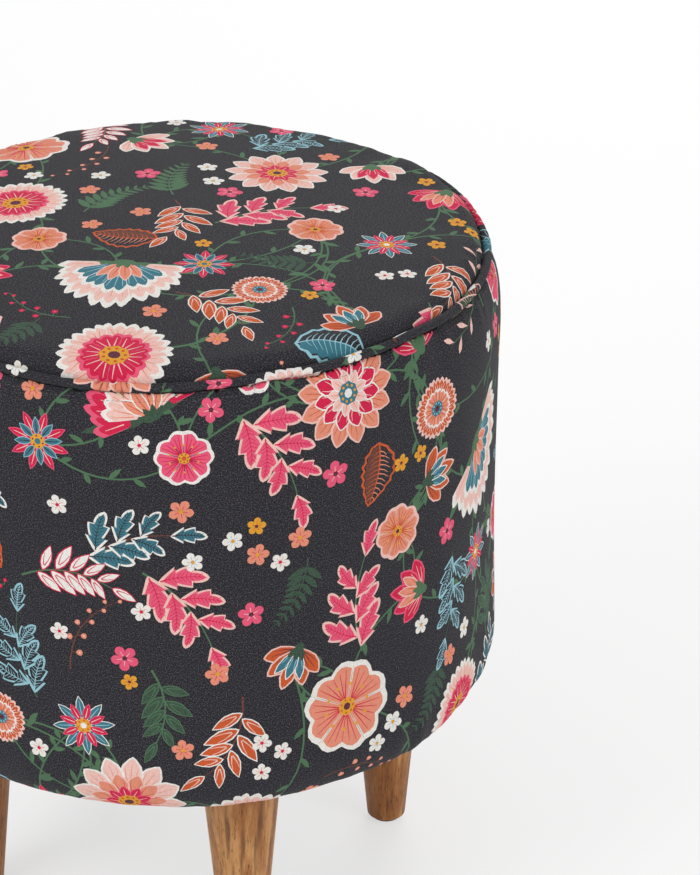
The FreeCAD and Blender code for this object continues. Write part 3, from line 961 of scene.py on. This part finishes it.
def spray(length, pairs, leaf, inks):
    """A bowed stem with pairs of veined leaves that get smaller to its tip."""
    stem, *blade_inks = inks
    first = 0.2

    def spread(t, side):
        s = t + 0.03 * side
        return s, 0.95 * (1.1 - 0.5 * s)

    def blade(s, t):
        long = leaf * (1.18 - 0.62 * s) * (1.0 if t > first else 0.8)
        return veined(long, 0.4 * long, blade_inks, 2, 0.85, 0.9)

    made = leafy(length, 0.14, (1.4, 0.6), stem, first + 0.72 * np.arange(pairs) / pairs, spread, blade)
    tip = veined(0.75 * leaf, 0.3 * leaf, blade_inks, 2, 0.85, 0.9)
    return made + placed(tip, 0.96 * length, 0.15 * 0.14 * length, -0.5)


def lobed(length, inks, lobes=3):
    """A toothed leaf along x: lobes that point to its tip, a pale rim, and hatched lines from its midrib."""
    rim, fill, vein = inks
    count = 8 * lobes + 1
    t = np.linspace(0, 1, count)
    tooth = (t * lobes) % 1.0
    wide = 0.25 * length * np.sin(np.pi * t**0.85) ** 0.7 * (0.62 + 0.55 * tooth)
    line = bow((0, 0), (length, 0), 0.06 * length, count)
    forward = np.stack([t * length + 0.10 * length * tooth * (1 - t), line[:, 1]], 1)
    outline = both_sides(forward, wide)
    inset = np.maximum(wide - 0.045 * length, 0.2)
    inner = (both_sides(forward, inset) - line[count // 2]) * (0.9, 1) + line[count // 2]
    made = [(rim, outline), (fill, inner), (vein, stroke(line[1:-2], 0.7, 0.3))]
    for k in range(3, count - 5, 2):
        for side in (-1, 1):
            end = line[k] + (0.09 * length, side * 0.8 * inset[k])
            made.append((vein, stroke(bow(line[k], end, 0.2, 3), 0.5, 0.25)))
    return made


def branch(length, pairs, leaf, inks):
    """A bowed stem with pairs of lobed leaves that get smaller to its tip, and one leaf at the tip."""
    stem, *blade_inks = inks

    def spread(t, side):
        return t + 0.05 * side, 0.72

    def blade(s, t):
        return lobed(leaf * (1.15 - 0.5 * s), blade_inks)

    made = leafy(length, 0.10, (1.5, 0.7), stem, 0.10 + 0.74 * np.arange(pairs) / pairs, spread, blade)
    return made + placed(lobed(0.85 * leaf, blade_inks), 0.93 * length, 0.2 * 0.10 * length, -0.35)


def fern(length, pairs, ink):
    """A green frond: narrow plain leaflets on both sides of a bowed stem."""

    def spread(t, side):
        return t, 0.95

    def blade(s, t):
        long = 0.30 * length * (1.05 - t) ** 0.7
        return [(ink, petal(long, 0.34 * long, 0.8, 0.8, 5))]

    return leafy(length, 0.12, (1.2, 0.4), ink, 0.12 + 0.86 * np.arange(pairs) / pairs, spread, blade)


def palmette(r, inks):
    """A wide flower from the side: three rows of fans over a cup with two curled leaves."""
    outer, middle, inner, cup = inks
    curl = [(cup, petal(1.5 * r, 0.34 * r, 0.7, 0.8))]
    sepal = [(cup, petal(0.36 * r, 0.16 * r, 0.9, 0.9))]

    def wide(angle):
        return fanned((1.85 - 0.5 * angle) * r, 0.8 * r, outer, 3, 3)

    def short(angle):
        return fanned((1.32 - 0.28 * angle) * r, 0.52 * r, middle, 2, 3, 0.3)

    def narrow(angle):
        return veined((0.82 - 0.1 * angle) * r, 0.26 * r, inner, 1, 1.2, 0.8)

    made = spread_out((-1.9 * 0.75, 1.9 * 0.75), -0.75 * r, lambda angle: curl)
    made += spread_out((-1.15, 1.15, -0.78, 0.78, -0.4, 0.4, 0.0), -0.85 * r, wide)
    made += spread_out((-0.9, 0.9, -0.45, 0.45, 0.0), -0.85 * r, short)
    made += spread_out((-0.6, 0.6, -0.2, 0.2), -0.85 * r, narrow)
    return made + spread_out((-0.9, -0.3, 0.3, 0.9), -0.92 * r, lambda angle: sepal)


def berries(length, count, inks, droop=0.15):
    """Round buds in turn on both sides of a bowed stem, each on its own thread."""
    stem, bud, shine = inks
    line = bow((0, 0), (length, 0), droop * length, 9)
    made = [(stem, stroke(line, 1.0, 0.4))]
    for k in range(count):
        t = 0.2 + 0.8 * k / (count - 1)
        x, y = t * length, 4 * t * (1 - t) * droop * length
        side = 1 if k % 2 else -1
        reach = side * (5.2 - 3.2 * t)
        tip = (x + 2.2, y + reach)
        size = 2.3 - 1.0 * t
        made.append((stem, stroke(bow((x, y), tip, 0.3 * side, 3), 0.6, 0.5)))
        made.append((bud, blot(size, 3, 0.08, 9) + tip))
        made.append((shine, blot(0.36 * size, count=5) + tip))
    return made


def lone_leaf(length, inks):
    """One broad leaf with a wavy rim, hatched on one half and plain on the other."""
    rim, fill, hatch, half = inks
    t = np.linspace(0, 1, 15)
    swing = 1 + 0.16 * np.abs(np.sin(7 * np.pi * t))
    wide = 0.30 * length * np.sin(np.pi * t**0.8) ** 0.8 * swing
    line = bow((0, 0), (length, 0), 0.1 * length, 15)
    outline = both_sides(line, wide)
    inset = 0.86 * wide
    inner = (both_sides(line, inset) - line[7]) * (0.93, 1) + line[7]
    made = [(rim, outline), (fill, inner)]
    made.append((half, np.concatenate([line[1:-1], (line - inset[:, None] * (0, 0.92))[-2:0:-1]])))
    for k in range(2, 13):
        end = line[min(k + 1, 14)] + (0, 0.72 * inset[k])
        made.append((hatch, stroke(bow(line[k], end, 0.6, 3), 0.8, 0.3)))
        end = line[min(k + 1, 14)] - (0, 0.68 * inset[k])
        made.append((rim, stroke(bow(line[k], end, -0.6, 3), 0.6, 0.25)))
    made.append((rim, stroke(line, 1.1, 0.5)))
    return made


def drops(count, inks):
    """A short stem with plain drop-shaped leaves in turn to both sides."""
    stem, leaf = inks
    length = 9.0 * count
    line = bow((0, 0), (length, 0), 2.5, 7)
    made = [(stem, stroke(line, 0.8, 0.5))]
    for k in range(count):
        t = (k + 0.6) / count
        at = (t * length, 10.0 * t * (1 - t))
        side = 1 if k % 2 else -1
        made += placed([(leaf, petal(11.5, 3.6, 1.5, 1.0, 6))], at[0], at[1], side * 0.75)
    return made


def posy(r, inks):
    """A small open flower of five round petals."""
    outer, mark, core = inks
    made = wheel(placed([(outer, petal(r, 0.78 * r, 1.5, 0.6, 6))], 0.05 * r), 5)
    made += wheel([(mark, stroke(bow((0.2 * r, 0), (0.6 * r, 0), 0, 2), 0.5, 0.3))], 5)
    return made + [(core, blot(0.2 * r, count=7))]


def vine(start, end, bend, rng):
    """A long thin stem with a few small leaves."""
    line = bow(start, end, bend, 13)
    made = [("leaf", stroke(line, 1.4, 1.0))]
    for k in range(2, 12, 2):
        step = line[k + 1] - line[k - 1]
        slope = np.arctan2(step[1], step[0])
        side = 1 if (k // 2) % 2 else -1
        blade = [("leaf", petal(rng.uniform(7, 11), 3.6, 0.9, 0.9, 5))]
        made += placed(blade, *line[k], slope + side * 0.8)
    return made


BLUSH = ("white", "blush", "salmon")
PEACH = ("blush", "salmon", "rust")
RED = ("rose", "crimson", "blush")
BLUE = ("sky", "teal", "ground")
GOLD = ("mustard", "rust", "plum")
CORAL = ("white", "salmon", "rust")
SEA = ("white", "teal", "sky")

LARGE = [
    (palmette, 34, (BLUSH, SEA, PEACH, "leaf")),
    (dahlia, 34, (BLUSH, PEACH, RED, GOLD)),
    (carnation, 32, (BLUSH, RED, GOLD)),
    (palmette, 31, (RED, BLUSH, CORAL, "moss")),
    (dahlia, 31, (PEACH, ("white", "crimson", "blush"), BLUSH, ("teal", "mustard", "white"))),
    (dog_rose, 29, (("white", "salmon", "crimson"), GOLD)),
    (palmette, 30, (CORAL, GOLD, BLUE, "leaf")),
]
MEDIUM = [
    (starflower, 20, (RED, BLUE, ("mustard", "plum", "teal"))),
    (bell, 21, (BLUSH, RED, ("leaf",))),
    (dog_rose, 18, (PEACH, GOLD)),
    (bell, 19, (("blush", "rust", "plum"), SEA, ("moss",))),
    (carnation, 18, (("blush", "rust", "blush"), CORAL, ("teal", "sky", "plum"))),
    (starflower, 19, (SEA, RED, ("mustard", "rust", "white"))),
    (bell, 20, (RED, PEACH, ("leaf",))),
    (dog_rose, 18, (("white", "rose", "crimson"), ("mustard", "plum", "rust"))),
]
SMALL = [
    (posy, 6.5, ("white", "sky", "mustard")),
    (posy, 8.0, ("rose", "blush", "plum")),
    (posy, 5.5, GOLD),
    (posy, 6.0, ("white", "salmon", "crimson")),
    (posy, 7.0, ("salmon", "crimson", "mustard")),
]
SPRIGS = [
    (branch, 70, (3, 29, ("leaf", "blush", "rose", "crimson"))),
    (fern, 58, (9, "leaf")),
    (spray, 60, (4, 25, ("brown", "white", "rust", "blush"))),
    (berries, 58, (9, ("brown", "salmon", "blush"))),
    (lone_leaf, 48, (("sky", "ground", "sky", "teal"),)),
    (branch, 62, (3, 25, ("moss", "sky", "ground", "sky"))),
    (fern, 50, (8, "moss")),
    (drops, 46, (5, ("leaf", "blush"))),
    (spray, 52, (4, 22, ("leaf", "leaf", "moss", "leaf"))),
    (berries, 50, (8, ("leaf", "crimson", "rose"))),
    (lone_leaf, 42, (("rust", "ground", "salmon", "brown"),)),
    (branch, 60, (3, 26, ("brown", "white", "teal", "ground"))),
    (lone_leaf, 40, (("blush", "ground", "salmon", "moss"),)),
    (spray, 60, (5, 23, ("leaf", "crimson", "white", "crimson"))),
]


def flower(kind, rng):
    """The shapes of one flower of a kind, with the circle that it covers."""
    make, radius, inks = kind
    radius = radius * rng.uniform(0.94, 1.08)
    return make(radius, inks), [(0.0, 0.0, radius)]


def sprig(kind, _):
    """The shapes of one leafy sprig, with the circles that it covers."""
    make, length, rest = kind
    shapes = make(*rest) if make is drops else make(length, *rest)
    step = length / 6
    wide = (1.0, 1.25, 0.9) if make in (spray, branch) else (0.8, 0.9, 0.7)
    return shapes, [(step * (2 * k + 1), 3.0, step * wide[k]) for k in range(3)]


def arrange(low, high, counts, rng):
    """Places motifs by size. Each gets the roomiest of many random places and turns.

    It returns the shapes in the order of printing: stems, then leaves, then flowers.
    """
    taken = np.zeros((0, 3))
    stems, flowers = 1, 2
    layers = [[], [], []]
    centres = []
    tries, roomy, overlap = 300, 2.0, 2.5
    large_flower, vine_reach = 15, 125
    rounds = (
        (flowers, flower, LARGE),
        (stems, sprig, SPRIGS),
        (flowers, flower, MEDIUM),
        (stems, sprig, SPRIGS),
        (flowers, flower, SMALL),
    )
    plan = []
    for (layer, make, kinds), count in zip(rounds, counts):
        plan += [(layer, make, kinds[k % len(kinds)]) for k in range(count)]
    for layer, make, kind in plan:
        shapes, cover = make(kind, rng)
        cover = np.array(cover)
        x = rng.uniform(low[0], high[0], tries)
        y = rng.uniform(low[1], high[1], tries)
        angle = rng.uniform(0, 2 * np.pi, tries)
        c, s = np.cos(angle)[:, None], np.sin(angle)[:, None]
        cx = x[:, None] + c * cover[:, 0] - s * cover[:, 1]
        cy = y[:, None] + s * cover[:, 0] + c * cover[:, 1]
        if len(taken):
            gap = np.hypot(cx[:, :, None] - taken[:, 0], cy[:, :, None] - taken[:, 1])
            room = (gap - taken[:, 2] - cover[None, :, 2, None]).min((1, 2))
        else:
            room = np.zeros(tries)
        best = int(np.argmax(np.minimum(room, roomy) + rng.uniform(0, 0.01, tries)))
        if room[best] < -overlap and len(taken):
            continue
        layers[layer] += placed(shapes, x[best], y[best], angle[best])
        taken = np.concatenate([taken, np.stack([cx[best], cy[best], cover[:, 2]], 1)])
        if make is flower and cover[0, 2] > large_flower:
            centres.append((x[best], y[best]))
    centres = np.array(centres)
    for k, centre in enumerate(centres):
        away = np.hypot(*(centres - centre).T)
        for pick in (1 + k % 3, 3 + k % 2):
            other = np.argsort(away)[pick]
            if away[other] < vine_reach:
                bend = rng.choice([-1, 1]) * rng.uniform(0.12, 0.26) * away[other]
                layers[0] += vine(centre, centres[other], bend, rng)
    return layers[0] + layers[1] + layers[2]


# Printed cover

COTTON = printed_cotton()


def side_panel():
    """The printed side of the cover, closed at the back, where the print is cut by the seam."""
    outline = strip_outline(side_width, side_line.length, 5.0)
    rng = np.random.default_rng(11)
    shapes = arrange((-20, -side_line.length), (side_width + 20, 10), (22, 44, 40, 40, 120), rng)
    lines = [((side_width / 2, 0.0), (side_width / 2, -side_line.length))]
    bake = in_rows(side_width, side_line.length, 2)
    piece = cloth("side_panel", outline, shapes, side_surface, bake, 5.0, lines)
    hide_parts("side_cover")
    return piece


def seat_panel():
    """The printed top of the cover."""
    angle = np.linspace(0, TURN, 252, endpoint=False)
    reach = top_line.length
    outline = reach * np.stack([np.cos(angle), np.sin(angle)], 1)
    rng = np.random.default_rng(29)
    shapes = arrange((-reach, -reach), (reach, reach), (10, 18, 18, 18, 52), rng)
    piece = cloth("seat_panel", outline, shapes, top_surface, in_disc(reach), 5.0)
    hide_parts("top_cover")
    return piece


def seam_piping():
    """The bias-cut strip folded round the cord and sewn into the seam."""
    width, height = pipe_width, pipe_line.length
    outline = strip_outline(width, height, 3.0)
    rng = np.random.default_rng(37)
    shapes = arrange((0, -60), (width, 30), (9, 14, 12, 8, 22), rng)
    shapes = [motif for motif in shapes if motif[1][:, 1].max() > -height and motif[1][:, 1].min() < 0]
    rows = 6
    lines = [((width * k / rows, 0.0), (width * k / rows, -height)) for k in range(1, rows)]
    bake = in_rows(width, height, rows)
    piece = cloth("seam_piping", outline, shapes, pipe_surface, bake, 1.6, lines, 4.0)
    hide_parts("piping_cover")
    width * MM
    height * MM
    return piece


def seam_cord():
    """Three strands laid round each other, the middle of each turning round the seam circle."""
    strands, sides, count, lay = 3, 8, 1440, 9.0
    strand = 0.5 * CORD_RADIUS
    angle = np.linspace(0, TURN, count, endpoint=False)
    twists = round(TURN * SEAM_RADIUS / lay)
    round_it = np.linspace(0, TURN, sides, endpoint=False)
    points, faces = [], []
    for k in range(strands):
        turn = twists * angle + TURN * k / strands
        out = SEAM_RADIUS + (CORD_RADIUS - strand) * np.cos(turn)
        up = SEAM_HEIGHT + seam_drift(angle) + (CORD_RADIUS - strand) * np.sin(turn)
        radius = out[:, None] + strand * np.cos(round_it)
        height = up[:, None] + strand * np.sin(round_it)
        points.append(polar(radius, angle[:, None], height).reshape(-1, 3))
        faces.append(lattice(count, sides, True, True) + k * count * sides)
    points, faces = np.concatenate(points), np.concatenate(faces)
    piece = merged(add_piece("seam_cord", points, faces, cord_cotton()))
    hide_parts("piping_cord")
    return piece


def seam_stitches():
    """The seam's thread, seen as short spindles in the side panel just under the piping, at even spaces."""
    below, length, width, gap = 5.6, 1.5, 0.34, 2.6
    rings, sides = 5, 4
    count = int(TURN * SEAM_RADIUS / gap)
    middle = np.arange(count) * TURN / count
    share = np.linspace(-1, 1, rings)
    side = np.array([(-1.0, 0.0), (0.0, 1.0), (1.0, 0.0), (0.0, -1.0)])
    wide = width / 2 * np.sqrt(1 - 0.9 * share**2)
    x = (middle[:, None, None] - CLOSING_SEAM) % TURN * side_width / TURN
    x = x + (share * length / 2)[None, :, None]
    slack = 0.25 * wave_round(middle, 30, 90, 51)[:, None, None]
    y = -(FOLD_PLACE + below) + slack + side[:, 0] * wide[None, :, None]
    x = np.broadcast_to(x, (count, rings, sides))
    depth = -(0.02 + side[:, 1] * wide[None, :, None] * 0.8) + 0 * x
    points = side_surface(x.ravel(), y.ravel(), depth.ravel())
    one = lattice(rings, sides, False, True)
    caps = np.array([(0, 1, 2), (0, 2, 3), (16, 18, 17), (16, 19, 18)])
    one = np.concatenate([one, caps])
    faces = (np.arange(count)[:, None, None] * rings * sides + one).reshape(-1, 3)
    piece = add_piece("seam_stitches", points, faces, stitching_thread())
    return merged(piece)


# Padding under the cover


def under_side(places, depth, count=240):
    """Points under the side panel, row by row down the side line and round the drum."""
    x = np.arange(count) * side_width / count
    return side_surface(x[None, :] + 0 * places[:, None], -places[:, None] + 0 * x, depth)


def under_seat(places, depth, count=240):
    """Points under the seat panel, row by row from the middle outwards."""
    angle = np.arange(count) * TURN / count
    return top_surface(places[:, None] * np.cos(angle), places[:, None] * np.sin(angle), depth)


def padding():
    """Foam and wadding between the drum and the cover, each following the cover's own surface."""
    clear = 0.3
    thick = wadding_high[2] - foam_high[2] - clear
    skirt = top_line.length - (wadding_low[2] - ALLOWANCE_BOTTOM)
    places = np.concatenate([np.linspace(0.01, SEAM_PLACE - 24, 40), np.linspace(SEAM_PLACE - 22, skirt, 16)])
    outer, inner = under_seat(places, FABRIC + clear), under_seat(places, FABRIC + clear + thick)
    layer = wrapped("seat_wadding_layer", outer, inner, wadding())
    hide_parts("seat_wadding")

    crown = under_seat(places[places < SEAM_PLACE], FABRIC + 2 * clear + thick)
    foot = crown[::-1][[0, -1]].copy()
    foot[..., 2] = foam_low[2]
    seat = wrapped("seat_foam_pad", crown, foot[::-1], foam())
    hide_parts("seat_foam")

    first, last = FOLD_PLACE + 0.5, ROLL_PLACE - 1.0
    places = np.concatenate([np.linspace(first, first + 40, 24), np.linspace(first + 44, last, 50)])
    face = under_side(places, FABRIC + clear)
    core = face[[0, -1]]
    turn = np.arctan2(core[..., 1], core[..., 0])
    inner_radius = wall_high[0] + clear
    core = polar(inner_radius, turn, core[..., 2])
    wrap = wrapped("side_foam_wrap", face, core, bpy.data.materials["foam"])
    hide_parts("side_foam")


# Underside


def dust_cloth_sheet():
    """Black cloth stretched under the base board: a disc with a smooth step down over the hem.

    Away from the legs and the hem it sags by a sum of cosines, and between the staples it is slack.
    """
    thickness = dust_high[2] - dust_low[2] - FABRIC
    edge = dust_high[0]
    flat, hem = HEM_INNER - 4, HEM_INNER + 0.5
    rings = [np.linspace(0, flat, 60), np.linspace(flat + 1, hem, 8), np.linspace(hem + 0.5, edge, 6)]
    rings = np.concatenate(rings)
    count = 288
    angle = np.linspace(0, TURN, count, endpoint=False)
    radius = rings[:, None] + np.zeros(count)
    step = np.clip((rings - flat - 0.5) / 3.5, 0, 1)
    step = (step * step * (3 - 2 * step))[:, None]
    top = dust_high[2] - FABRIC * step
    staples = 24
    slack = 0.5 * (1 - np.cos(staples * angle - TURN / 2))
    pull = slack * near(rings, HEM_INNER - 12, 12)[:, None]
    x, y = radius * np.cos(angle), radius * np.sin(angle)
    away = np.min([np.hypot(x - leg_x, y - leg_y) for leg_x, leg_y in LEG_AXES], axis=0)
    leg_edge, ease, hem_ease = 27, 20, 12
    free = np.clip((away - leg_edge) / ease, 0, 1) * np.clip((flat - radius) / hem_ease, 0, 1)
    sag = free * (0.9 + 0.5 * np.cos(x / 17 + y / 29) * np.cos(y / 23 - x / 41) + 0.25 * np.cos(away / 5))
    height = top - sag - 0.35 * pull * (free + 0.2)
    upper = np.stack([x, y, height], -1).reshape(-1, 3)
    lower = upper - (0, 0, thickness)
    side = lattice(len(rings), count, False, True)
    last = (len(rings) - 1) * count
    a = last + np.arange(count)
    b = last + (np.arange(count) + 1) % count
    below = len(upper)
    wall = np.concatenate([np.stack([a, a + below, b + below], 1), np.stack([a, b + below, b], 1)])
    faces = np.concatenate([side, side[:, ::-1] + below, wall])
    points = np.concatenate([upper, lower])
    piece = merged(add_piece("dust_cloth", points, faces, dust_cloth()), 0.8)
    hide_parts("dust_cover")
    return piece


def dress(nodes, material):
    """Gives CAD nodes a material."""
    for node in nodes:
        mesh = NODES[node].data
        mesh.materials.clear()
        mesh.materials.append(material)


side_panel()
seat_panel()
seam_cord()
seam_piping()
seam_stitches()
padding()
dust_cloth_sheet()

dress([f"leg_{side}" for side in SIDES], leg_wood())
dress([f"foot_glide_{side}" for side in SIDES], glide_plastic())
dress([f"frame_post_{side}" for side in ("front", "right", "back", "left")], pine())
dress(["top_board", "base_board"], plywood())
dress(["drum_wall"], hardboard())
dress(["hanger_bolts", "tee_nuts", "board_screws", "cover_staples", "dust_cover_staples"], zinc_steel())

# Studio


def floor():
    """A wide floor under the object."""
    reach = 30000.0
    points = np.array([(-reach, -reach, 0), (reach, -reach, 0), (reach, reach, 0), (-reach, reach, 0)])
    mesh = bpy.data.meshes.new("floor")
    mesh.from_pydata((points * MM).tolist(), [], [(0, 1, 2, 3)])
    mesh.materials.append(studio_floor())
    ground = bpy.data.objects.new("floor", mesh)
    bpy.context.scene.collection.objects.link(ground)


# Each lamp's name, its place and size in metres, and its power in watts
LAMPS = (
    ("key_lamp", (-0.9, -2.2, 1.9), (1.4, 1.2), 26.0),
    ("right_lamp", (2.3, -0.3, 1.3), (0.9, 1.6), 12.0),
    ("back_lamp", (-0.6, 2.4, 2.0), (1.6, 1.0), 23.0),
)
LAMP_AIM = (0, 0, 0.25)
WORLD_STRENGTH = 0.60


def softbox(name, place, size, power):
    """An area lamp that faces the middle of the object."""
    lamp = bpy.data.lights.new(name, "AREA")
    lamp.shape = "RECTANGLE"
    lamp.size, lamp.size_y = size
    lamp.energy = power
    holder = bpy.data.objects.new(name, lamp)
    holder.location = place
    aim = Vector(LAMP_AIM) - Vector(place)
    holder.rotation_euler = aim.to_track_quat("-Z", "Y").to_euler()
    bpy.context.scene.collection.objects.link(holder)


def studio():
    """Even white surroundings and three soft lamps."""
    world = bpy.data.worlds.new("studio")
    world.use_nodes = True
    background = world.node_tree.nodes["Background"]
    background.inputs["Color"].default_value = (1.0, 1.0, 1.0, 1.0)
    background.inputs["Strength"].default_value = WORLD_STRENGTH
    bpy.context.scene.world = world
    for lamp in LAMPS:
        softbox(*lamp)
    bpy.context.scene.view_settings.view_transform = "Standard"


# The photograph's frame is 875 pixels high, and its camera's focal length was fitted as 4000 of them
FOCAL_PIXELS = 4000
FRAME_HEIGHT = 875


def camera():
    """The photograph's own viewpoint: from the front right, looking down on the stool."""
    lens = bpy.data.cameras.new("camera")
    lens.sensor_width = 36.0
    lens.lens = lens.sensor_width * FOCAL_PIXELS / FRAME_HEIGHT
    holder = bpy.data.objects.new("camera", lens)
    holder.location = (1.162, -1.945, 1.449)
    holder.rotation_euler = np.radians((63.21, 0.0, 28.12))
    bpy.context.scene.collection.objects.link(holder)
    bpy.context.scene.camera = holder


floor()
studio()
camera()
